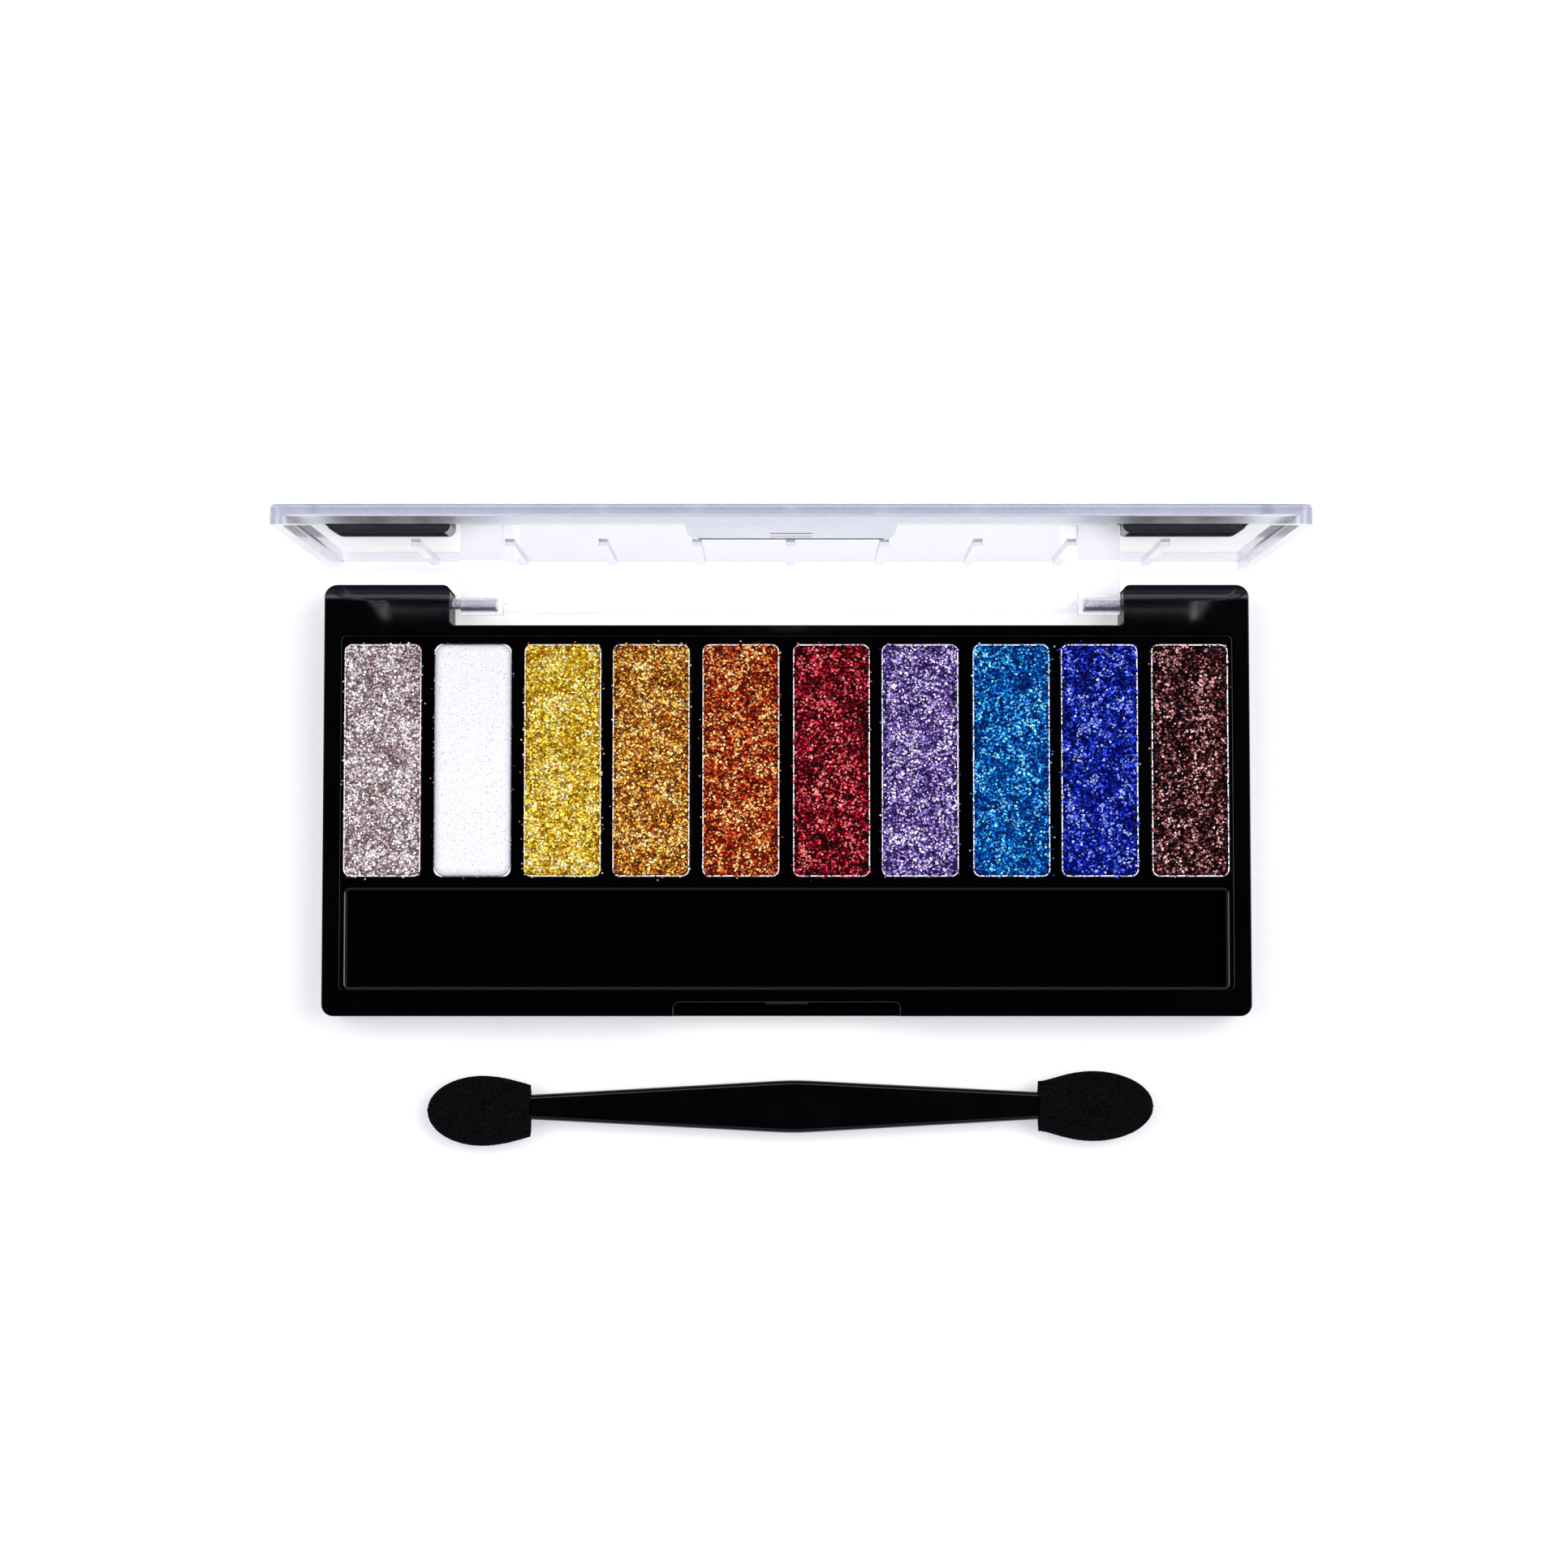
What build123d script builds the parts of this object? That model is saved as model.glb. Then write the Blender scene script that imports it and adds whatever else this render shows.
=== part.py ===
"""Eyeshadow palette with ten pans, a clear hinged lid and a double-ended sponge applicator.

Millimetres. X runs along the palette, Y from the thumb recess towards the hinge, Z up.
The origin is the centre of the base's underside. The lid stands open and the applicator
lies in front of the palette.
"""
import os
from math import sqrt

from build123d import *

os.makedirs("parts", exist_ok=True)

# Base shell
base_length = 125.0
base_depth = 58.3
base_height = 8.0
floor_thickness = 1.0
front_corner_radius = 1.6
boss_outer_radius = 1.7
boss_inner_radius = 1.0
edge_radius = 0.3
top_edge_radius = 0.1
base_back = base_depth / 2
base_front = -base_depth / 2

# Hinge line, and the notch between the two hinge bosses
hinge_y = 26.95
hinge_z = 3.7
notch_half_length = 45.55
notch_front = 23.6
notch_corner_radius = 0.5
hinge_side_shift = 0.5  # the lid and its pins have slid this far to the right
boss_swing_radius = base_height - hinge_z

# Thumb recess in the front wall
recess_length = 30.4
recess_back = -27.25
recess_floor = 4.5
recess_corner_radius = 0.8
catch_bead_length = 5.7
catch_bead_proud = 0.3
catch_bead_height = 0.8
catch_bead_z = 5.4

# Inner tray
fit_gap = 0.1
deck_height = 7.65
tray_length = 120.6
tray_front = -25.8
tray_back = 22.3
tray_corner_radius = 0.8
tray_floor_thickness = 0.8
deck_edge_radius = 0.12
well_length = 118.4
well_front = -25.1
well_back = -12.3
well_floor = 1.75
well_corner_radius = 0.35
well_edge_radius = 0.45

# Pans
pan_count = 10
pan_pitch = 12.12
pan_width = 10.34
pan_length = 31.4
pan_height = 3.6
pan_radius = 1.0
pan_sheet = 0.28
pan_foot_radius = 0.8
pan_centre_y = 5.33
pan_below_deck = 0.15
pan_well_gap = 0.2
pan_seating = (-0.03, 0.04, 0.05, -0.12, -0.12, 0.0, -0.15, 0.05, -0.15, -0.06)  # off the well's centre
adhesive_thickness = 0.15
adhesive_radius = 2.4
adhesive_spacing = 16.0
powder_below_rim = 0.35
powder_gap = 0.02

# Hinge pins
pin_radius = 0.75
pin_length = 21.6
pin_inner_reach = 40.1
pin_chamfer = 0.15
pin_press = 0.01
pin_running_gap = 0.05

# Lid, described closed: local y and z are measured from the hinge line
lid_rest_angle = 88.6
lid_gap = 0.2
lid_back_reach = 2.06
lid_height = 2.46
lid_plate = 1.1
lid_wall = 1.45
lid_corner_radius = 1.3
lid_edge_radius = 0.45
lid_inner_radius = 0.6
lid_inner_edge_radius = 0.35
skirt_half_length = 44.9
skirt_thickness = 1.3
skirt_drop = 1.13
knuckle_length = 5.7
knuckle_radius = 1.5
knuckle_bore_depth = 5.0
knuckle_root_reach = 2.6  # the hollow curve from a knuckle's post out to the skirt
rib_width = 1.2
rib_height = 0.45
rib_length = 24.5
latch_length = 25.3
latch_drop = 1.75
latch_thickness = 1.1
latch_corner_radius = 1.6
latch_bead_length = 5.0
latch_bead_proud = 0.2
latch_bead_height = 0.5
gate_stub_length = 8.8
gate_stub_x = -30.8
gate_stub_proud = 0.3
gate_stub_thickness = 0.6

# Applicator
handle_left_y = -41.48
handle_middle_y = -41.4
handle_right_y = -41.28
sponge_left_y = -41.98  # the foam tips sit a little askew on the handle's ends
sponge_right_y = -41.34
applicator_z = 2.75
sponge_junction_left = -34.7
sponge_junction_right = 34.1
sponge_tip_left_x = -48.7
sponge_tip_right_x = 49.75
sponge_width = 9.5
sponge_thickness = 5.5
sponge_widest_back = 6.6  # from the junction to the widest section
handle_middle_x = 0.97
handle_middle_width = 7.16
handle_left_width = 3.3
handle_right_width = 3.65
handle_thickness = 2.6
handle_edge_radius = 0.55
handle_middle_radius = 40.0
sponge_section_steps = (-0.5, 0.0, 0.5, 0.8, 0.95, 0.999)  # along the nose, as a part of its length
tang_length = 8.0
tang_width = 2.4
tang_thickness = 1.5
tang_gap = 0.05


def pan_x(index):
    """Centre of one pan along the palette."""
    return (index - (pan_count - 1) / 2) * pan_pitch + pan_seating[index]


def well_x(index):
    """Centre of one pan's well along the palette."""
    return (index - (pan_count - 1) / 2) * pan_pitch


pan_seat = deck_height - pan_below_deck - pan_height
pan_well_floor = pan_seat - adhesive_thickness
tray_depth = tray_back - tray_front
tray_centre_y = (tray_back + tray_front) / 2
selection_reach = 0.1  # either side of a plane, when edges are picked by their place


# Base shell: one moulding with a pocket for the tray and a hinge boss at each back corner
with BuildPart() as base_shell:
    with BuildSketch():
        Rectangle(base_length, base_depth)
    extrude(amount=base_height)
    with BuildSketch():
        with Locations((0, base_back)):
            Rectangle(2 * notch_half_length, 2 * (base_back - notch_front))
    extrude(amount=base_height, mode=Mode.SUBTRACT)
    uprights = base_shell.edges().filter_by(Axis.Z)
    fillet(uprights.group_by(Axis.Y)[0], front_corner_radius)
    boss_corners = base_shell.edges().filter_by(Axis.Z).group_by(Axis.Y)[-1].sort_by(Axis.X)
    fillet(boss_corners[1:-1], boss_inner_radius)
    fillet((boss_corners[0], boss_corners[-1]), boss_outer_radius)
    notch_corners = base_shell.edges().filter_by(Axis.Z).filter_by_position(
        Axis.Y, notch_front - selection_reach, notch_front + selection_reach)
    fillet(notch_corners, notch_corner_radius)
    # The bosses are round behind the hinge line, so that the lid's rim can swing past them
    with BuildSketch(Plane.YZ):
        with Locations((hinge_y, hinge_z)):
            Rectangle(2 * boss_swing_radius, 2 * boss_swing_radius, align=(Align.MIN, Align.MIN))
            Circle(boss_swing_radius, mode=Mode.SUBTRACT)
    extrude(amount=base_length, both=True, mode=Mode.SUBTRACT)
    # Pocket for the tray
    with BuildSketch(Plane.XY.offset(floor_thickness)):
        with Locations((0, tray_centre_y)):
            RectangleRounded(tray_length + 2 * fit_gap, tray_depth + 2 * fit_gap, tray_corner_radius)
    extrude(amount=base_height, mode=Mode.SUBTRACT)
    # Thumb recess, with the catch bead on its back wall
    with BuildSketch(Plane.XY.offset(recess_floor)):
        with Locations((0, recess_back)):
            Rectangle(recess_length, base_depth, align=(Align.CENTER, Align.MAX))
    extrude(amount=base_height, mode=Mode.SUBTRACT)
    recess_corners = base_shell.edges().filter_by(Axis.Z).filter_by_position(
        Axis.Y, recess_back - selection_reach, recess_back + selection_reach)
    fillet(recess_corners, recess_corner_radius)
    with BuildSketch(Plane.YZ):
        with Locations((recess_back, catch_bead_z)):
            Ellipse(catch_bead_proud, catch_bead_height / 2)
    extrude(amount=catch_bead_length / 2, both=True)
    # Holes for the hinge pins, right through each boss
    with BuildSketch(Plane.YZ):
        with Locations((hinge_y, hinge_z)):
            Circle(pin_radius - pin_press)
    extrude(amount=base_length, both=True, mode=Mode.SUBTRACT)
    chamfer(base_shell.faces().sort_by(Axis.Z)[0].outer_wire().edges(), edge_radius)
    rim = base_shell.faces().filter_by(Axis.Z).sort_by(Axis.Z)[-1]
    rim_edges = rim.outer_wire().edges()
    fillet(rim_edges.filter_by_position(Axis.Y, base_front, hinge_y - selection_reach), top_edge_radius)
base_shell.part.label = "base_shell"
export_step(base_shell.part, "parts/base_shell.step")

# Inner tray: ten pan wells behind one long applicator well, hollow underneath
with BuildPart() as inner_tray:
    with BuildSketch(Plane.XY.offset(floor_thickness)):
        with Locations((0, tray_centre_y)):
            RectangleRounded(tray_length, tray_depth, tray_corner_radius)
    extrude(amount=deck_height - floor_thickness)
    with BuildSketch(Plane.XY.offset(pan_well_floor)):
        with Locations(*[(well_x(i), pan_centre_y) for i in range(pan_count)]):
            RectangleRounded(pan_width + 2 * pan_well_gap, pan_length + 2 * pan_well_gap,
                             pan_radius + pan_well_gap)
    extrude(amount=base_height, mode=Mode.SUBTRACT)
    with BuildSketch(Plane.XY.offset(well_floor)):
        with Locations((0, (well_front + well_back) / 2)):
            RectangleRounded(well_length, well_back - well_front, well_corner_radius)
    extrude(amount=base_height, mode=Mode.SUBTRACT)
    deck = inner_tray.faces().filter_by(Axis.Z).sort_by(Axis.Z)[-1]
    applicator_rim = deck.inner_wires().sort_by(Axis.Y)[0]
    fillet(applicator_rim.edges(), well_edge_radius)
    deck = inner_tray.faces().filter_by(Axis.Z).sort_by(Axis.Z)[-1]
    fillet(deck.outer_wire().edges(), deck_edge_radius)
    with BuildSketch(Plane.XY.offset(floor_thickness)):
        with Locations((0, pan_centre_y)):
            RectangleRounded(tray_length - 4 * tray_floor_thickness, pan_length,
                             tray_corner_radius)
    extrude(amount=pan_well_floor - tray_floor_thickness - floor_thickness, mode=Mode.SUBTRACT)
inner_tray.part.label = "inner_tray"
export_step(inner_tray.part, "parts/inner_tray.step")

# Pans: pressed metal cups, each with its cake of pressed powder
for index in range(pan_count):
    with BuildPart() as pan:
        with BuildSketch(Plane.XY.offset(pan_seat)):
            with Locations((pan_x(index), pan_centre_y)):
                RectangleRounded(pan_width, pan_length, pan_radius)
        extrude(amount=pan_height)
        fillet(pan.faces().sort_by(Axis.Z)[0].edges(), pan_foot_radius)
        with BuildSketch(Plane.XY.offset(pan_seat + pan_sheet)):
            with Locations((pan_x(index), pan_centre_y)):
                RectangleRounded(pan_width - 2 * pan_sheet, pan_length - 2 * pan_sheet,
                                 pan_radius - pan_sheet)
        extrude(amount=pan_height, mode=Mode.SUBTRACT)
    pan.part.label = f"pan_{index + 1}"
    export_step(pan.part, f"parts/pan_{index + 1}.step")

    with BuildPart() as powder:
        with BuildSketch(Plane.XY.offset(pan_seat + pan_sheet)):
            with Locations((pan_x(index), pan_centre_y)):
                RectangleRounded(pan_width - 2 * (pan_sheet + powder_gap),
                                 pan_length - 2 * (pan_sheet + powder_gap),
                                 pan_radius - pan_sheet)
        extrude(amount=pan_height - pan_sheet - powder_below_rim)
    powder.part.label = f"powder_{index + 1}"
    export_step(powder.part, f"parts/powder_{index + 1}.step")

# Adhesive: two dabs under each pan
with BuildPart() as pan_adhesive:
    with BuildSketch(Plane.XY.offset(pan_well_floor)):
        with Locations(*[(well_x(i), pan_centre_y + side * adhesive_spacing / 2)
                         for i in range(pan_count) for side in (-1, 1)]):
            Circle(adhesive_radius)
    extrude(amount=adhesive_thickness)
pan_adhesive.part.label = "pan_adhesive"
export_step(pan_adhesive.part, "parts/pan_adhesive.step")

# Hinge pins: pressed into the bosses, running in the lid's knuckles
for name, side in (("hinge_pin_left", -1), ("hinge_pin_right", 1)):
    inner_end = hinge_side_shift + side * pin_inner_reach
    with BuildPart() as hinge_pin:
        with BuildSketch(Plane.YZ.offset(inner_end)):
            with Locations((hinge_y, hinge_z)):
                Circle(pin_radius)
        extrude(amount=side * pin_length)
        chamfer(hinge_pin.edges().filter_by(GeomType.CIRCLE), pin_chamfer)
    hinge_pin.part.label = name
    export_step(hinge_pin.part, f"parts/{name}.step")

# Lid: a shallow clear cover with a long hinge skirt and a latch tab. It is drawn closed on
# planes that turn with it about the hinge line, and stands open at lid_rest_angle.
swing = Rotation(-lid_rest_angle, 0, 0)
lid_hinge = Location((hinge_side_shift, hinge_y, hinge_z)) * swing
lid_flat = Plane(lid_hinge)
lid_side = Plane(lid_hinge * Plane.YZ.location)
lid_up = Axis(lid_flat.origin, lid_flat.z_dir)
lid_front_y = base_front - hinge_y
lid_rim_z = base_height + lid_gap - hinge_z
lid_top_z = lid_rim_z + lid_height
lid_middle_y = (lid_front_y + lid_back_reach) / 2
latch_tip_z = lid_rim_z - latch_drop
lid_depth = lid_back_reach - lid_front_y
lid_front = Plane(lid_flat.origin + lid_flat.y_dir * lid_front_y, x_dir=lid_flat.x_dir, z_dir=-lid_flat.y_dir)

with BuildPart() as lid:
    with BuildSketch(lid_flat.offset(lid_rim_z)):
        with Locations((0, lid_middle_y)):
            RectangleRounded(base_length, lid_depth, lid_corner_radius)
    extrude(amount=lid_height)
    fillet(lid.faces().sort_by(lid_up)[-1].edges(), lid_edge_radius)
    with BuildSketch(lid_flat.offset(lid_rim_z)):
        with Locations((0, lid_middle_y)):
            RectangleRounded(base_length - 2 * lid_wall, lid_depth - 2 * lid_wall, lid_inner_radius)
    extrude(amount=lid_height - lid_plate, mode=Mode.SUBTRACT)
    plate_face = lid.faces().filter_by(lid_up).sort_by(lid_up)[1]
    fillet(plate_face.edges(), lid_inner_edge_radius)
    # Skirt that carries the lid down to the hinge line
    skirt_front = lid_back_reach - skirt_thickness
    skirt_middle = skirt_front + skirt_thickness / 2
    with BuildSketch(lid_side):
        with Locations((skirt_front, -skirt_drop)):
            Rectangle(skirt_thickness, skirt_drop + lid_rim_z + lid_plate, align=(Align.MIN, Align.MIN))
    extrude(amount=skirt_half_length, both=True)
    # A knuckle at each end of the skirt, on a post that runs up to the lid's plate
    for side in (-1, 1):
        knuckle_end = side * skirt_half_length
        knuckle_root = side * (skirt_half_length - knuckle_length)
        with BuildSketch(lid_side.offset(knuckle_end)):
            Circle(knuckle_radius)
            Rectangle(skirt_middle, 2 * knuckle_radius,
                      align=(Align.MIN, Align.CENTER))
        extrude(amount=-side * knuckle_length)
        hollow_end = knuckle_root - side * knuckle_root_reach
        with BuildSketch(lid_flat):
            with BuildLine():
                Polyline((knuckle_root, -knuckle_radius), (knuckle_end, -knuckle_radius),
                         (knuckle_end, skirt_middle), (hollow_end, skirt_middle), (hollow_end, skirt_front))
                TangentArc((hollow_end, skirt_front), (knuckle_root, -knuckle_radius), tangent=(side, 0))
            make_face()
        extrude(amount=lid_rim_z + lid_wall)
    # Ribs over the dividers between the pans
    rib_back = lid_back_reach - lid_wall
    for index in range(pan_count - 1):
        rib_x = (well_x(index) + well_x(index + 1)) / 2
        with BuildSketch(lid_flat.offset(lid_top_z - lid_plate - rib_height)):
            with Locations((rib_x, rib_back)):
                Rectangle(rib_width, rib_length, align=(Align.CENTER, Align.MAX))
        extrude(amount=rib_height + lid_plate / 2)
    # Latch tab that drops into the thumb recess, with its bead
    with BuildSketch(lid_front):
        with Locations((0, latch_tip_z)):
            RectangleRounded(latch_length, latch_drop + lid_height - lid_edge_radius,
                             latch_corner_radius, align=(Align.CENTER, Align.MIN))
    extrude(amount=-latch_thickness)
    with BuildSketch(lid_side):
        with Locations((lid_front_y + latch_thickness, latch_tip_z + latch_bead_height)):
            Ellipse(latch_bead_proud, latch_bead_height / 2)
    extrude(amount=latch_bead_length / 2, both=True)
    # Trimmed moulding gate on the skirt's lower edge
    with BuildSketch(lid_flat.offset(-skirt_drop - gate_stub_proud)):
        with Locations((gate_stub_x, skirt_middle)):
            Rectangle(gate_stub_length, gate_stub_thickness)
    extrude(amount=gate_stub_proud)
    # Blind holes that turn on the pins
    for side in (-1, 1):
        with BuildSketch(lid_side.offset(side * skirt_half_length)):
            Circle(pin_radius + pin_running_gap)
        extrude(amount=-side * knuckle_bore_depth, mode=Mode.SUBTRACT)
lid.part.label = "lid"
export_step(lid.part, "parts/lid.step")

# Applicator: a flat handle, widest in the middle, with a tang at each end inside a foam tip
handle_half_left = handle_left_width / 2
handle_half_right = handle_right_width / 2
with BuildPart() as applicator_handle:
    with BuildSketch(Plane.XY.offset(applicator_z - handle_thickness / 2)):
        with BuildLine():
            Polyline(
                (sponge_junction_left, handle_left_y - handle_half_left),
                (handle_middle_x, handle_middle_y - handle_middle_width / 2),
                (sponge_junction_right, handle_right_y - handle_half_right),
                (sponge_junction_right, handle_right_y + handle_half_right),
                (handle_middle_x, handle_middle_y + handle_middle_width / 2),
                (sponge_junction_left, handle_left_y + handle_half_left),
                close=True)
        make_face()
    extrude(amount=handle_thickness)
    fillet(applicator_handle.edges().filter_by(Axis.Z).sort_by(Axis.X)[2:4], handle_middle_radius)
    long_edges = applicator_handle.edges().filter_by(
        lambda edge: edge.length > tang_length / 4 and abs(edge.tangent_at(0.5).X) > 0.5)
    fillet(long_edges, handle_edge_radius)
    for junction, tang_y, side in ((sponge_junction_left, handle_left_y, -1),
                                   (sponge_junction_right, handle_right_y, 1)):
        with BuildSketch(Plane.YZ.offset(junction)):
            with Locations((tang_y, applicator_z)):
                Rectangle(tang_width, tang_thickness)
        extrude(amount=side * tang_length)
applicator_handle.part.label = "applicator_handle"
export_step(applicator_handle.part, "parts/applicator_handle.step")

# Foam tips: a pointed oval with a slot for the tang
for name, junction, tip, middle_y, tang_y, side in (
        ("sponge_tip_left", sponge_junction_left, sponge_tip_left_x, sponge_left_y, handle_left_y, -1),
        ("sponge_tip_right", sponge_junction_right, sponge_tip_right_x, sponge_right_y, handle_right_y, 1)):
    widest_x = junction + side * sponge_widest_back
    nose_length = abs(tip - widest_x)
    with BuildPart() as sponge_tip:
        for x in [junction] + [widest_x + side * nose_length * step for step in sponge_section_steps]:
            fullness = sqrt(1 - ((x - widest_x) / nose_length) ** 2)
            with BuildSketch(Plane.YZ.offset(x)):
                with Locations((middle_y, applicator_z)):
                    Ellipse(fullness * sponge_width / 2, fullness * sponge_thickness / 2)
        loft()
        with BuildSketch(Plane.YZ.offset(junction)):
            with Locations((tang_y, applicator_z)):
                Rectangle(tang_width + 2 * tang_gap, tang_thickness + 2 * tang_gap)
        extrude(amount=side * (tang_length + tang_gap), mode=Mode.SUBTRACT)
    sponge_tip.part.label = name
    export_step(sponge_tip.part, f"parts/{name}.step")
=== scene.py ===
"""Looks for the ten-pan eyeshadow palette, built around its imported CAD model.

Glitter powders, foam tips and every material are made here. The case, tray, pans, pins,
lid and handle are the CAD nodes themselves, with finishes of their own.
"""

import math

import bpy
import numpy as np
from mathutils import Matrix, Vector, noise


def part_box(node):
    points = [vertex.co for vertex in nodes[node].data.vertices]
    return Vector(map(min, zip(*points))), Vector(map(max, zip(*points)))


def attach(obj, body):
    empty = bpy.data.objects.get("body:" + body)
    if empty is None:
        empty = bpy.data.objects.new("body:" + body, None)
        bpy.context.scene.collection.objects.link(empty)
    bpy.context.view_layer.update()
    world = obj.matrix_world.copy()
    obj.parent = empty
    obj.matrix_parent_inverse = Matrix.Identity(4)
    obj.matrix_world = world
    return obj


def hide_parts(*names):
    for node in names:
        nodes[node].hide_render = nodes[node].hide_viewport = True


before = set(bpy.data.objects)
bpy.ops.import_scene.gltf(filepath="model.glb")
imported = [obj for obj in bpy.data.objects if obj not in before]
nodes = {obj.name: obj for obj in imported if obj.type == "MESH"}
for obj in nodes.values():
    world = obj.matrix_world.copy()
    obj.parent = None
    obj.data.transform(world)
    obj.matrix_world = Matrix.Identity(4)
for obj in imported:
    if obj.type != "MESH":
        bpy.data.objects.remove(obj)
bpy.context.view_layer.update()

MM = 0.001
SEED = 7


# ---------------------------------------------------------------- shader helpers
class Shader:
    """A new material with a Principled surface, and short calls that add nodes to it."""

    def __init__(self, name):
        self.material = bpy.data.materials.new(name)
        self.material.use_nodes = True
        self.tree = self.material.node_tree
        self.surface = self.tree.nodes["Principled BSDF"]
        self.output = self.tree.nodes["Material Output"]

    def set(self, **values):
        for socket, value in values.items():
            self.surface.inputs[socket.replace("_", " ")].default_value = value

    def node(self, kind, **settings):
        made = self.tree.nodes.new(kind)
        for key, value in settings.items():
            setattr(made, key, value)
        return made

    def link(self, source, target):
        self.tree.links.new(source, target)

    def noise(self, scale, detail=2.0, roughness=0.5):
        """Noise in object space; scale is in features per metre."""
        place = self.node("ShaderNodeTexCoord")
        made = self.node("ShaderNodeTexNoise")
        made.inputs["Scale"].default_value = scale
        made.inputs["Detail"].default_value = detail
        made.inputs["Roughness"].default_value = roughness
        self.link(place.outputs["Object"], made.inputs["Vector"])
        return made.outputs["Fac"]

    def ramp(self, factor, stops):
        """Colours along a value; stops are (position, colour)."""
        made = self.node("ShaderNodeValToRGB")
        elements = made.color_ramp.elements
        while len(elements) < len(stops):
            elements.new(0.5)
        for element, (position, colour) in zip(elements, stops):
            element.position = position
            element.color = (*colour, 1)
        self.link(factor, made.inputs["Fac"])
        return made.outputs["Color"]

    def spread(self, factor, low, high):
        """A value from 0 to 1 stretched to run from low to high."""
        made = self.node("ShaderNodeMapRange")
        made.inputs["To Min"].default_value = low
        made.inputs["To Max"].default_value = high
        self.link(factor, made.inputs["Value"])
        return made.outputs["Result"]

    def product(self, first, second):
        made = self.node("ShaderNodeMath", operation="MULTIPLY")
        self.link(first, made.inputs[0])
        self.link(second, made.inputs[1])
        return made.outputs["Value"]

    def mixed(self, share, first, second):
        """Two shaders, with share of the second."""
        made = self.node("ShaderNodeMixShader")
        self.link(share, made.inputs["Fac"])
        self.link(first, made.inputs[1])
        self.link(second, made.inputs[2])
        return made.outputs["Shader"]

    def mark(self):
        """The three values of a powder cake's mark: a flake's colour, its polish, and the share of painted
        edge shade.
        """
        stored = self.node("ShaderNodeAttribute", attribute_name="mark")
        split = self.node("ShaderNodeSeparateXYZ")
        self.link(stored.outputs["Vector"], split.inputs["Vector"])
        return split.outputs

    def bump(self, height, distance, strength=1.0):
        made = self.node("ShaderNodeBump")
        made.inputs["Distance"].default_value = distance
        made.inputs["Strength"].default_value = strength
        self.link(height, made.inputs["Height"])
        self.link(made.outputs["Normal"], self.surface.inputs["Normal"])


def scaled(colour, factor):
    return tuple(min(1.0, c * factor) for c in colour)


def grey(level):
    return (level, level, level)


def give(node_name, material):
    """The finish of a CAD node."""
    slots = nodes[node_name].data.materials
    slots.clear()
    slots.append(material)


# ---------------------------------------------------------------- materials
def gloss_black(name, roughness):
    shader = Shader(name)
    shader.set(Base_Color=(0.0003, 0.0003, 0.0005, 1), IOR=1.5)
    smudges = shader.noise(160, detail=4)
    shader.link(shader.spread(smudges, roughness * 0.6, roughness * 1.5),
                shader.surface.inputs["Roughness"])
    shader.bump(shader.noise(90, detail=1), 0.00002, 0.25)
    # The gloss fades at a glancing angle, so that edges and side walls stay black against the pale table
    facing = shader.node("ShaderNodeLayerWeight")
    gloss = shader.ramp(facing.outputs["Facing"], [(0.75, grey(0.5)), (0.9, grey(0))])
    shader.link(gloss, shader.surface.inputs["Specular IOR Level"])
    return shader.material


def pan_metal():
    shader = Shader("pan_metal")
    shader.set(Base_Color=(0.93, 0.91, 0.96, 1), Metallic=1.0)
    shader.link(shader.spread(shader.noise(1500, detail=3), 0.4, 0.65),
                shader.surface.inputs["Roughness"])
    shader.bump(shader.noise(2500, detail=2), 0.00001, 0.4)
    return shader.material


def pin_steel():
    shader = Shader("pin_steel")
    shader.set(Base_Color=(0.8, 0.79, 0.82, 1), Metallic=1.0)
    grain = shader.noise(1900, detail=4, roughness=0.65)
    shader.link(shader.spread(grain, 0.1, 0.35), shader.surface.inputs["Roughness"])
    shader.bump(grain, 0.0004, 1.0)
    return shader.material


def adhesive():
    shader = Shader("adhesive")
    shader.set(Base_Color=(0.72, 0.68, 0.58, 1), Roughness=0.5)
    shader.bump(shader.noise(1200), 0.00005, 0.4)
    return shader.material


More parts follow.
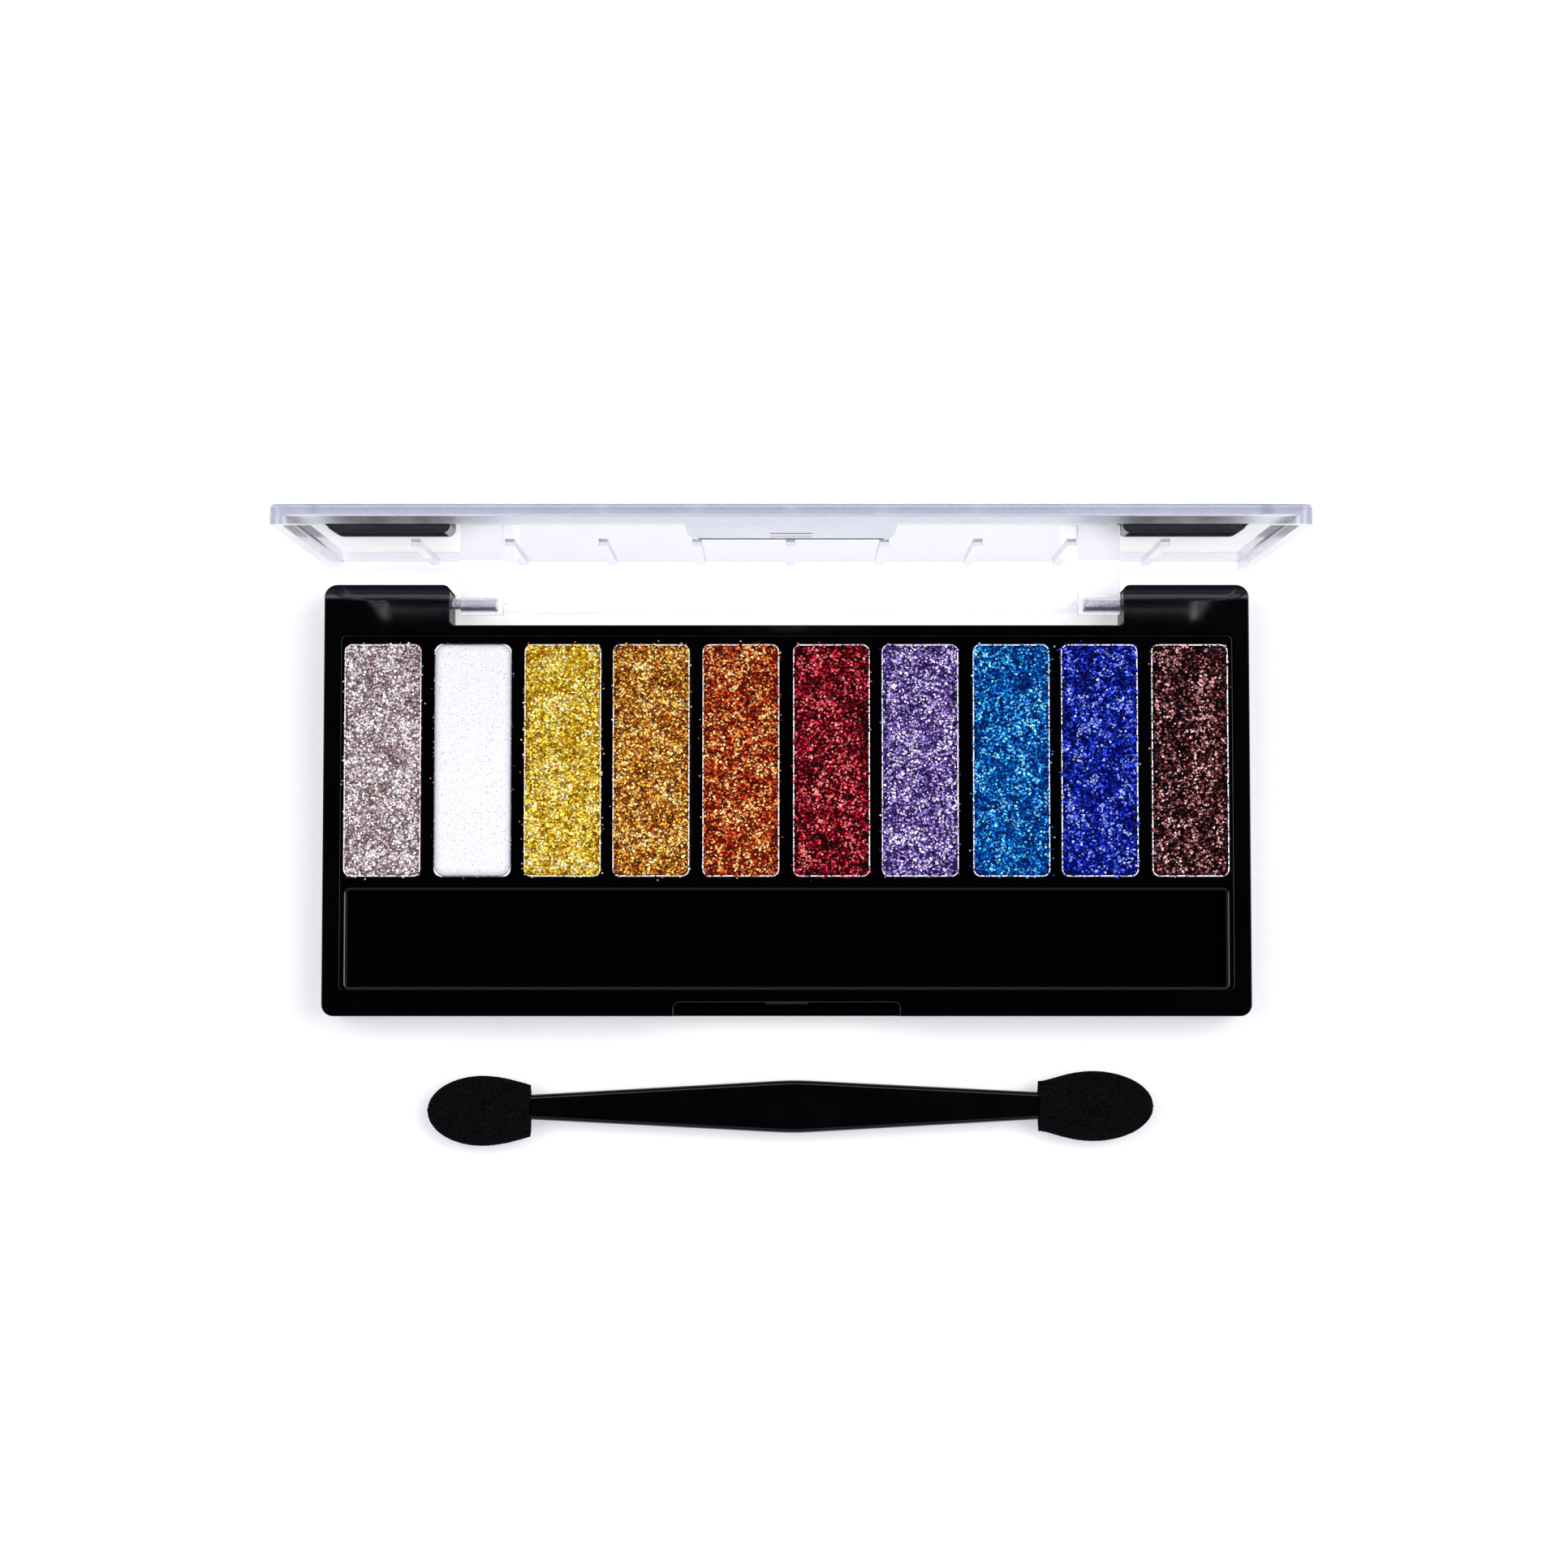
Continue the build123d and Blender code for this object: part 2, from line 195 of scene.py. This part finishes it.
def clear_lid():
    """Polished acrylic: a strong mirror at a glancing angle, lavender where light runs far inside it."""
    shader = Shader("clear_lid")
    shader.set(Base_Color=(0.9, 0.905, 0.94, 1), IOR=1.5, Transmission_Weight=1.0)
    shader.bump(shader.noise(45, detail=2), 0.00006, 0.12)
    mirror = shader.node("ShaderNodeBsdfGlossy")
    mirror.inputs["Color"].default_value = (0.86, 0.862, 0.885, 1)
    mirror.inputs["Roughness"].default_value = 0.02
    facing = shader.node("ShaderNodeLayerWeight")
    glancing = shader.ramp(facing.outputs["Facing"], [(0.76, grey(0)), (0.86, grey(0.96))])
    # The broad flat faces are the best polished; the walls between them are drafted and duller
    place = shader.node("ShaderNodeTexCoord")
    split = shader.node("ShaderNodeSeparateXYZ")
    shader.link(place.outputs["Normal"], split.inputs["Vector"])
    side = shader.node("ShaderNodeMath", operation="ABSOLUTE")
    shader.link(split.outputs["Y"], side.inputs[0])
    flat = shader.ramp(side.outputs["Value"], [(0.9, grey(0.15)), (0.97, grey(1))])
    haze = shader.ramp(side.outputs["Value"], [(0.9, grey(0.2)), (0.97, grey(0.02))])
    patches = shader.spread(shader.noise(220, detail=3), 0.5, 1.5)
    shader.link(shader.product(haze, patches), shader.surface.inputs["Roughness"])
    polished = shader.product(glancing, flat)
    glass = shader.mixed(polished, shader.surface.outputs["BSDF"], mirror.outputs["BSDF"])
    # Light from the lamps goes through it, so it casts no dark shadow
    path = shader.node("ShaderNodeLightPath")
    through = shader.node("ShaderNodeBsdfTransparent")
    through.inputs["Color"].default_value = (0.96, 0.96, 0.98, 1)
    lit = shader.mixed(path.outputs["Is Shadow Ray"], glass, through.outputs["BSDF"])
    shader.link(lit, shader.output.inputs["Surface"])
    depth = shader.node("ShaderNodeVolumeAbsorption")
    depth.inputs["Color"].default_value = (0.62, 0.66, 1.0, 1)
    depth.inputs["Density"].default_value = 7.0
    shader.link(depth.outputs["Volume"], shader.output.inputs["Volume"])
    return shader.material


def foam_black():
    shader = Shader("sponge_foam")
    shader.set(Roughness=1.0, Specular_IOR_Level=0.04)
    pores = shader.noise(3600, detail=4, roughness=0.75)
    # Dark in the dents of the pores: painted shade in the cells, over the foam's own near-black
    shader.link(shader.ramp(pores, [(0.4, (0.0003, 0.0003, 0.0004)), (0.7, (0.012, 0.0115, 0.014))]),
                shader.surface.inputs["Base Color"])
    shader.bump(pores, 0.0003, 1.0)
    return shader.material


def powder_base(name, shade):
    """The pressed powder between the flakes, darker towards the pan's wall: painted shade on its slope down.
    """
    shader = Shader(name)
    shader.set(Roughness=0.9, Specular_IOR_Level=0.03)
    grain = shader.noise(3800, detail=3, roughness=0.65)
    body, edge = shade["body"], shade["edge"]
    low, high = shade["grain"]
    middle = shader.ramp(grain, [(0.3, scaled(body, low)), (0.55, body), (0.8, scaled(body, high))])
    # Towards the wall the colour goes over to the edge colour, a painted shade on the slope
    blend = shader.node("ShaderNodeMix", data_type="RGBA")
    shader.link(shader.mark()["Z"], blend.inputs["Factor"])
    shader.link(middle, blend.inputs["A"])
    blend.inputs["B"].default_value = (*edge, 1)
    shader.link(blend.outputs["Result"], shader.surface.inputs["Base Color"])
    shader.bump(grain, 0.0001, shade["bump"])
    return shader.material


# How a cake's flakes share out its five colours, darkest first; in glitter, painted shade up to painted
# glints
TINT_POSITIONS = (0.16, 0.36, 0.56, 0.8, 0.96)


def flake_finish(name, shade):
    """Foil flakes, each of its own colour and polish; in glitter these colours hold painted glints and shade.
    """
    shader = Shader(name)
    shader.set(Metallic=shade["metal"], IOR=1.5, Specular_IOR_Level=0.08)
    mark = shader.mark()
    # The top colours stand in for glints and the bottom ones for shade on flakes turned from the lamps:
    # painted light over the foil's own colour
    stops = list(zip(TINT_POSITIONS, shade["tints_and_glints"]))
    shader.link(shader.ramp(mark["X"], stops), shader.surface.inputs["Base Color"])
    shader.link(shader.spread(mark["Y"], 0.18, 0.5), shader.surface.inputs["Roughness"])
    return shader.material


# ---------------------------------------------------------------- shades, left to right
# Of a shade: grain is how dark and how bright the bed gets, metal how much the flakes mirror, tilt their
# lean, size their radii and lift how high they lie in mm, clumps how far dark and bright ones gather,
# roughness the bed's unevenness in mm, and rim_cover how far the cake lies over the pan's rim
# edge is the painted shade colour of the cake at the pan's wall; clumps also sets how much darker the flakes
# there are painted
def glitter(*tints_and_glints):
    """Foil glitter pressed flush with the rim; flake colours run from painted shade up to painted glints."""
    return {
        "tints_and_glints": tints_and_glints, "body": scaled(tints_and_glints[1], 0.6), "edge": tints_and_glints[0], "grain": (0.3, 1.8), "bump": 0.9,
        "metal": 0.4, "count": 7600, "tilt": 0.3, "size": (0.11, 0.21), "clumps": 0.3,
        "lift": (-0.02, 0.12), "domed": False, "roughness": 0.02,
        "corner": 0.8 * MM, "rim_cover": 0.14 * MM,
    }


def soft_pearl(body, edge, *tints_and_glints):
    """Fine pressed pearl powder with soft shoulders and a few pastel specks."""
    # Its lavender grey edge colour is painted shade on the soft shoulders
    return {
        "tints_and_glints": tints_and_glints, "body": body, "edge": edge, "grain": (0.8, 1.1), "bump": 0.5,
        "metal": 0.1, "count": 2800, "tilt": 0.2, "size": (0.06, 0.12), "clumps": 0.0,
        "lift": (-0.02, 0.01), "domed": True, "roughness": 0.004,
        "corner": 1.5 * MM, "rim_cover": 0.28 * MM,
    }


# Each glitter shade's colours run from painted shade through the powder's own colours to painted glints; the
# pearl's are real pastel specks
SHADES = [
    ("taupe", glitter(
        (0.11, 0.065, 0.06), (0.46, 0.33, 0.33), (0.78, 0.63, 0.62), (1.0, 0.98, 0.98),
        (1.0, 1.0, 1.0))),
    ("pearl_white", soft_pearl(
        (0.99, 0.975, 0.98), (0.62, 0.61, 0.67), (0.75, 0.36, 0.5), (0.75, 0.68, 0.36),
        (0.45, 0.72, 0.72), (0.78, 0.74, 0.95), (1.0, 1.0, 1.0))),
    ("gold", glitter(
        (0.2, 0.065, 0.002), (0.84, 0.44, 0.012), (1.0, 0.78, 0.035), (1.0, 1.0, 0.2),
        (1.0, 1.0, 0.7))),
    ("amber", glitter(
        (0.05, 0.008, 0.002), (0.46, 0.1, 0.01), (0.92, 0.3, 0.02), (1.0, 0.8, 0.1), (1.0, 1.0, 0.48))),
    ("copper", glitter(
        (0.025, 0.002, 0.001), (0.28, 0.012, 0.004), (0.7, 0.05, 0.01), (1.0, 0.36, 0.055),
        (1.0, 0.88, 0.34))),
    ("red", glitter(
        (0.003, 0.0002, 0.0004), (0.04, 0.0005, 0.0025), (0.24, 0.001, 0.01), (0.9, 0.008, 0.045),
        (1.0, 0.3, 0.26))),
    ("lilac", glitter(
        (0.004, 0.003, 0.03), (0.075, 0.038, 0.24), (0.28, 0.16, 0.6), (0.8, 0.58, 1.0),
        (1.0, 1.0, 1.0))),
    ("azure", glitter(
        (0.0002, 0.005, 0.06), (0.0003, 0.04, 0.27), (0.0005, 0.11, 0.56), (0.002, 0.38, 1.0),
        (0.3, 0.95, 1.0))),
    ("royal_blue", glitter(
        (0.0002, 0.0005, 0.02), (0.0005, 0.004, 0.17), (0.001, 0.02, 0.5), (0.025, 0.075, 1.0),
        (0.45, 0.55, 1.0))),
    ("brown", glitter(
        (0.001, 0.0002, 0.0003), (0.006, 0.0008, 0.0014), (0.045, 0.006, 0.009), (0.36, 0.085, 0.09),
        (0.95, 0.55, 0.5))),
]


# ---------------------------------------------------------------- powder cakes
CAKE_STEP = 0.2 * MM
SHOULDER_WIDTH = 1.1 * MM
SHOULDER_DROP = 0.4 * MM
DOME_BASE = 0.03 * MM
BED_HEIGHT = 0.05 * MM
BED_DROP = 0.03 * MM
WAVES_PER_METRE = 260
WAVE_HEIGHT = 0.04 * MM
LEAST_COVER = 0.004 * MM
FINE_CLUMPS = 900
BROAD_CLUMPS = 330
STRAY_SHARE = 0.02
STRAY_REACH = 0.13 * MM
STRAY_LIFT = 0.03 * MM
STRAY_TILT = 0.4
STRAY_SIZE = 0.7
RIM_WIDTH = 0.25 * MM


def round_corners(points, half, radius):
    """Squeezes the square corners of a rectangle full of points into quarter discs."""
    inner = half - radius
    offset = np.abs(points) - inner
    corner = (offset > 0).all(axis=1)
    square = offset[corner].max(axis=1)
    disc = np.linalg.norm(offset[corner], axis=1)
    moved = offset[corner] * (square / np.maximum(disc, 1e-9))[:, None]
    points[corner] = np.sign(points[corner]) * (inner + moved)
    return points


def edge_distance(points, half, radius):
    """How far inside the rounded rectangle each point is."""
    offset = np.abs(points) - (half - radius)
    outside = np.linalg.norm(np.maximum(offset, 0), axis=1)
    inside = np.minimum(offset.max(axis=1), 0)
    return radius - outside - inside


def smooth_noise(points, frequency, seed):
    return np.array([noise.noise(Vector((x * frequency, y * frequency, seed))) for x, y in points])


def hexagons(centres, normals, radii, rng):
    """Six corners for each flake, turned at random about its normal."""
    helper = np.where(np.abs(normals[:, :1]) < 0.9, [[1.0, 0, 0]], [[0, 1.0, 0]])
    across = np.cross(normals, helper)
    across /= np.linalg.norm(across, axis=1)[:, None]
    along = np.cross(normals, across)
    turn = rng.uniform(0, math.tau, len(centres))[:, None] + np.arange(6) * math.tau / 6
    stretch = rng.uniform(0.7, 1.0, len(centres))[:, None]
    ring = (across[:, None] * (np.cos(turn) * stretch)[..., None] + along[:, None] * np.sin(turn)[..., None])
    return centres[:, None] + ring * radii[:, None, None]


def stray_spots(count, half, deck, rim, rng):
    """Loose flakes beside the cake: most on the pan's rim, the rest on the deck around it."""
    angle = rng.uniform(0, math.tau, count)
    side = np.column_stack([np.sign(np.cos(angle)), np.sign(np.sin(angle))])
    on_end = rng.uniform(0, 1, count) < 0.25
    reach = rng.exponential(STRAY_REACH, count)
    run = rng.uniform(-1, 1, count)
    x = np.where(on_end, run * half[0], side[:, 0] * (half[0] + reach))
    y = np.where(on_end, side[:, 1] * (half[1] + reach), run * half[1])
    z = np.where(reach < RIM_WIDTH, rim, deck) + STRAY_LIFT
    return np.column_stack([x, y]), z


class CakeShape:
    """Where one pan's cake lies, and the form of its top."""

    def __init__(self, index, shade):
        low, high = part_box(f"powder_{index + 1}")
        self.index = index
        self.shade = shade
        self.floor = low.z
        self.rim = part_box(f"pan_{index + 1}")[1].z
        self.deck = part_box("inner_tray")[1].z
        self.centre = np.array([(low.x + high.x) / 2, (low.y + high.y) / 2])
        self.inner_half = np.array([(high.x - low.x) / 2, (high.y - low.y) / 2])
        self.half = self.inner_half + shade["rim_cover"]

    def edge_share(self, points):
        """1 at the cake's edge, falling to 0 on the level middle."""
        inset = edge_distance(points, self.half, self.shade["corner"]) / SHOULDER_WIDTH
        return (1 - np.clip(inset, 0, 1)) ** 2

    def height(self, points):
        waves = smooth_noise(points, WAVES_PER_METRE, self.index) * WAVE_HEIGHT
        if self.shade["domed"]:
            return self.rim + DOME_BASE + (1 - self.edge_share(points)) * SHOULDER_DROP + waves * 0.5
        return self.rim + BED_HEIGHT - self.edge_share(points) * BED_DROP + waves

    def placed(self, points, z):
        """Points about the cake's middle, put in the frame at height z."""
        return np.column_stack([points + self.centre, z])


def pressed_bed(shape, rng):
    """The bed's vertices and faces: its uneven top, then its sides and its underside.

    Also gives the points of the top about the cake's middle.
    """
    half, corner_radius = shape.half, shape.shade["corner"]
    columns = round(2 * half[0] / CAKE_STEP)
    rows = round(2 * half[1] / CAKE_STEP)
    across = np.linspace(-half[0], half[0], columns + 1)
    along = np.linspace(-half[1], half[1], rows + 1)
    xs, ys = np.meshgrid(across, along)
    flat = round_corners(np.stack([xs.ravel(), ys.ravel()], axis=1), half, corner_radius)
    top = shape.height(flat) + rng.normal(0, shape.shade["roughness"], len(flat)) * MM
    top = np.maximum(top, shape.rim + LEAST_COVER)
    corner = np.arange(rows)[:, None] * (columns + 1) + np.arange(columns)
    quads = np.stack([corner, corner + 1, corner + columns + 2, corner + columns + 1], axis=-1).reshape(-1, 4)

    # The sides start under the lip that lies on the rim, and go down the pan's wall
    ring = np.concatenate([np.arange(columns + 1), np.arange(1, rows + 1) * (columns + 1) + columns,
                           rows * (columns + 1) + np.arange(columns - 1, -1, -1),
                           np.arange(rows - 1, 0, -1) * (columns + 1)])
    turns = len(ring)
    wall = flat[ring] * shape.inner_half / half
    after = np.roll(np.arange(turns), -1)
    lip = len(flat) + np.arange(turns)
    foot = lip + turns
    sides = np.concatenate([np.stack([ring[after], ring, lip, lip[after]], axis=1),
                            np.stack([lip[after], lip, foot, foot[after]], axis=1)])
    vertices = np.concatenate([shape.placed(flat, top),
                               shape.placed(wall, np.full(turns, shape.rim + LEAST_COVER / 2)),
                               shape.placed(wall, np.full(turns, shape.floor))])
    return flat, vertices, quads.tolist(), sides.tolist() + [foot[::-1].tolist()]


def bedded_flakes(shape, rng):
    """Six corners for each flake, and its mark: those in the bed first, then the loose ones beside it."""
    shade = shape.shade
    count = shade["count"]
    spots = round_corners(rng.uniform(-1, 1, (count, 2)) * shape.half, shape.half, shade["corner"])
    flake_z = shape.height(spots) + rng.uniform(*shade["lift"], count) * MM
    clump = smooth_noise(spots, FINE_CLUMPS, 50 + shape.index)
    clump += smooth_noise(spots, BROAD_CLUMPS, 80 + shape.index)
    # Flakes near the pan's wall are moved to darker colours: painted shade
    shift = shade["clumps"] * (clump - 0.6 * shape.edge_share(spots))
    stray_places, stray_z = stray_spots(int(count * STRAY_SHARE), shape.half, shape.deck, shape.rim, rng)
    spots = np.concatenate([spots, stray_places])
    flake_z = np.concatenate([flake_z, stray_z])
    total = len(spots)
    tilt = rng.normal(0, shade["tilt"], (total, 2))
    tilt[count:] *= STRAY_TILT
    normals = np.column_stack([tilt, np.ones(total)])
    normals /= np.linalg.norm(normals, axis=1)[:, None]
    radii = rng.uniform(*shade["size"], total) * MM
    radii[count:] *= STRAY_SIZE
    corners = hexagons(shape.placed(spots, flake_z), normals, radii, rng)
    marks = rng.uniform(0, 1, (total, 3))
    marks[:count, 0] = np.clip(marks[:count, 0] + shift, 0, 1)
    return corners, marks


def powder_cake(index, name, shade):
    """Pressed powder in one pan, with flakes bedded in it and a few lying on the rim and the deck."""
    rng = np.random.default_rng(SEED + index)
    shape = CakeShape(index, shade)
    flat, bed, top_faces, side_faces = pressed_bed(shape, rng)
    corners, flake_marks = bedded_flakes(shape, rng)
    vertices = np.concatenate([bed, corners.reshape(-1, 3)])
    total = len(corners)
    flake_faces = np.arange(total * 6).reshape(-1, 6) + len(bed)
    polygons = top_faces + side_faces + flake_faces.tolist()
    mesh = bpy.data.meshes.new(f"powder_cake_{name}")
    mesh.from_pydata(vertices.tolist(), [], polygons)
    marks = np.zeros((len(vertices), 3), np.float32)
    # The edge share, and all of the sides, take the painted edge shade
    marks[:len(flat), 2] = shape.edge_share(flat)
    marks[len(flat):len(bed), 2] = 1
    marks[len(bed):] = np.repeat(flake_marks, 6, axis=0)
    mesh.attributes.new("mark", "FLOAT_VECTOR", "POINT").data.foreach_set("vector", marks.ravel())
    mesh.materials.append(powder_base(f"powder_{name}", shade))
    mesh.materials.append(flake_finish(f"flakes_{name}", shade))
    material_index = np.zeros(len(polygons), np.int32)
    material_index[-total:] = 1
    mesh.polygons.foreach_set("material_index", material_index)
    smooth = np.zeros(len(polygons), bool)
    smooth[:len(top_faces)] = shade["domed"]
    mesh.polygons.foreach_set("use_smooth", smooth)
    mesh.update()
    cake = bpy.data.objects.new(f"powder_cake_{name}", mesh)
    bpy.context.scene.collection.objects.link(cake)
    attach(cake, "case")
    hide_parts(f"powder_{index + 1}")


# ---------------------------------------------------------------- foam tips
FOAM_RINGS = 110
FOAM_ROUND = 150
WIDEST_AT = 0.47
SQUARENESS = 0.86


def foam_outline(t, base, flare):
    """The tip's width as a share of the widest, at t from 0 at the cut end to 1 at the tip."""
    if t < WIDEST_AT:
        swell = base + (1 - base) * math.sin(math.pi / 2 * t / WIDEST_AT)
        return swell + flare * math.exp(-t / 0.05)
    return math.sqrt(max(0.0, 1 - ((t - WIDEST_AT) / (1 - WIDEST_AT)) ** 2))


def open_cells(mesh):
    """Pores, pushed inwards only so that the tip keeps its size."""
    for vertex in mesh.vertices:
        place = vertex.co / MM
        cell = noise.voronoi(place * 2.6)[0][0]
        fine = noise.noise(place * 5.0)
        depth = (0.2 * max(0.0, 0.5 - cell) + 0.1 * abs(fine)) * MM
        vertex.co -= vertex.normal * depth


def foam_tip(node_name, tip_side, base, flare, material):
    """A foam oval, cut square where the handle goes in, with open cells all over.

    Base is the width of the cut end as a share of the widest, and flare is how much its lip turns out.
    """
    low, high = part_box(node_name)
    junction = high.x if tip_side < 0 else low.x
    tip = low.x if tip_side < 0 else high.x
    length = abs(tip - junction)
    middle = Vector((0, (low.y + high.y) / 2, (low.z + high.z) / 2))
    half_y, half_z = (high.y - low.y) / 2, (high.z - low.z) / 2
    vertices = []
    for i in range(FOAM_RINGS + 1):
        t = i / FOAM_RINGS
        width = foam_outline(t, base, flare)
        x = junction + tip_side * length * t
        for j in range(FOAM_ROUND):
            angle = math.tau * j / FOAM_ROUND
            cosine, sine = math.cos(angle), math.sin(angle)
            y = math.copysign(abs(cosine) ** SQUARENESS, cosine) * half_y * width
            z = math.copysign(abs(sine) ** SQUARENESS, sine) * half_z * width
            vertices.append(Vector((x, middle.y + y, middle.z + z)))
    faces = []
    for i in range(FOAM_RINGS):
        for j in range(FOAM_ROUND):
            here = i * FOAM_ROUND + j
            beside = i * FOAM_ROUND + (j + 1) % FOAM_ROUND
            faces.append((here, beside, beside + FOAM_ROUND, here + FOAM_ROUND))
    centre = len(vertices)
    vertices.append(Vector((junction, middle.y, middle.z)))
    faces += [(centre, (j + 1) % FOAM_ROUND, j) for j in range(FOAM_ROUND)]
    if tip_side < 0:
        faces = [face[::-1] for face in faces]
    mesh = bpy.data.meshes.new(node_name.replace("sponge", "foam"))
    mesh.from_pydata(vertices, [], faces)
    mesh.update()
    open_cells(mesh)
    mesh.materials.append(material)
    mesh.polygons.foreach_set("use_smooth", np.ones(len(mesh.polygons), bool))
    tip_object = bpy.data.objects.new(mesh.name, mesh)
    bpy.context.scene.collection.objects.link(tip_object)
    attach(tip_object, "applicator")
    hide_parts(node_name)


# ---------------------------------------------------------------- stage, light and camera
FLOOR_SIZE = 6
FLOOR_GAP = 0.02 * MM


def stage_floor():
    bpy.ops.mesh.primitive_plane_add(size=FLOOR_SIZE, location=(0, 0, -FLOOR_GAP))
    floor = bpy.context.object
    floor.name = "floor"
    shader = Shader("floor_paper")
    shader.set(Base_Color=(0.72, 0.72, 0.72, 1), Roughness=1.0, Specular_IOR_Level=0.0,
               Emission_Color=(1, 1, 1, 1), Emission_Strength=0.4)
    floor.data.materials.append(shader.material)


# The studio by height, from the horizon at 0 to overhead at 1: a white backdrop, dim walls,
# a broad pale ring of soft light, and a dark patch that flat black gloss mirrors
SKY_STOPS = [
    (0.08, (0.95, 0.95, 0.96)),
    (0.2, (0.16, 0.17, 0.24)),
    (0.64, (0.16, 0.17, 0.24)),
    (0.72, (0.45, 0.46, 0.7)),
    (0.955, (0.5, 0.51, 0.75)),
    (0.975, (0.008, 0.008, 0.012)),
]


def studio_sky():
    """A world lit by height alone, so it is the same from every side."""
    world = bpy.data.worlds.new("studio")
    bpy.context.scene.world = world
    world.use_nodes = True
    tree = world.node_tree
    background = tree.nodes["Background"]
    place = tree.nodes.new("ShaderNodeTexCoord")
    split = tree.nodes.new("ShaderNodeSeparateXYZ")
    ramp = tree.nodes.new("ShaderNodeValToRGB")
    elements = ramp.color_ramp.elements
    for _ in range(len(SKY_STOPS) - 2):
        elements.new(0.5)
    for element, (height, colour) in zip(elements, SKY_STOPS):
        element.position = height
        element.color = (*colour, 1)
    tree.links.new(place.outputs["Generated"], split.inputs["Vector"])
    tree.links.new(split.outputs["Z"], ramp.inputs["Fac"])
    tree.links.new(ramp.outputs["Color"], background.inputs["Color"])
    background.inputs["Strength"].default_value = 1.0


LAMP_COLOUR = (1.0, 0.99, 0.9)


def softbox(name, position, size, power):
    light = bpy.data.lights.new(name, "AREA")
    light.shape = "RECTANGLE"
    light.size, light.size_y = size
    light.energy = power
    light.color = LAMP_COLOUR
    lamp = bpy.data.objects.new(name, light)
    bpy.context.scene.collection.objects.link(lamp)
    lamp.location = position
    lamp.rotation_euler = (-Vector(position)).to_track_quat("-Z", "Y").to_euler()


CAMERA_PLACE = (-0.000355, -0.024781, 0.449569)
CAMERA_TILT = 3.481
CAMERA_LENS = 75.36


def camera():
    data = bpy.data.cameras.new("camera")
    data.sensor_width = 36
    data.lens = CAMERA_LENS
    eye = bpy.data.objects.new("camera", data)
    bpy.context.scene.collection.objects.link(eye)
    eye.location = CAMERA_PLACE
    eye.rotation_euler = (math.radians(CAMERA_TILT), 0, 0)
    data.clip_start, data.clip_end = 0.01, 20
    bpy.context.scene.camera = eye


give("base_shell", gloss_black("black_case", 0.07))
give("inner_tray", gloss_black("black_tray", 0.06))
give("applicator_handle", gloss_black("black_handle", 0.12))
rim_metal = pan_metal()
steel = pin_steel()
for index, (name, shade) in enumerate(SHADES):
    give(f"pan_{index + 1}", rim_metal)
    powder_cake(index, name, shade)
give("pan_adhesive", adhesive())
give("hinge_pin_left", steel)
give("hinge_pin_right", steel)
give("lid", clear_lid())
foam = foam_black()
foam_tip("sponge_tip_left", -1, 0.74, 0.0, foam)
foam_tip("sponge_tip_right", 1, 0.65, 0.07, foam)

stage_floor()
studio_sky()
softbox("left_box", (-0.62, 0.12, 0.95), (0.6, 0.7), 4.0)
softbox("right_box", (0.62, 0.12, 0.95), (0.6, 0.7), 6.5)
softbox("back_box", (0.0, 0.45, 1.05), (1.6, 0.25), 2.0)
camera()
bpy.context.scene.view_settings.view_transform = "Standard"
# Light runs down inside the clear lid by many reflections
bounces = bpy.context.scene.cycles
bounces.max_bounces = 24
bounces.glossy_bounces = 16
bounces.transmission_bounces = 24
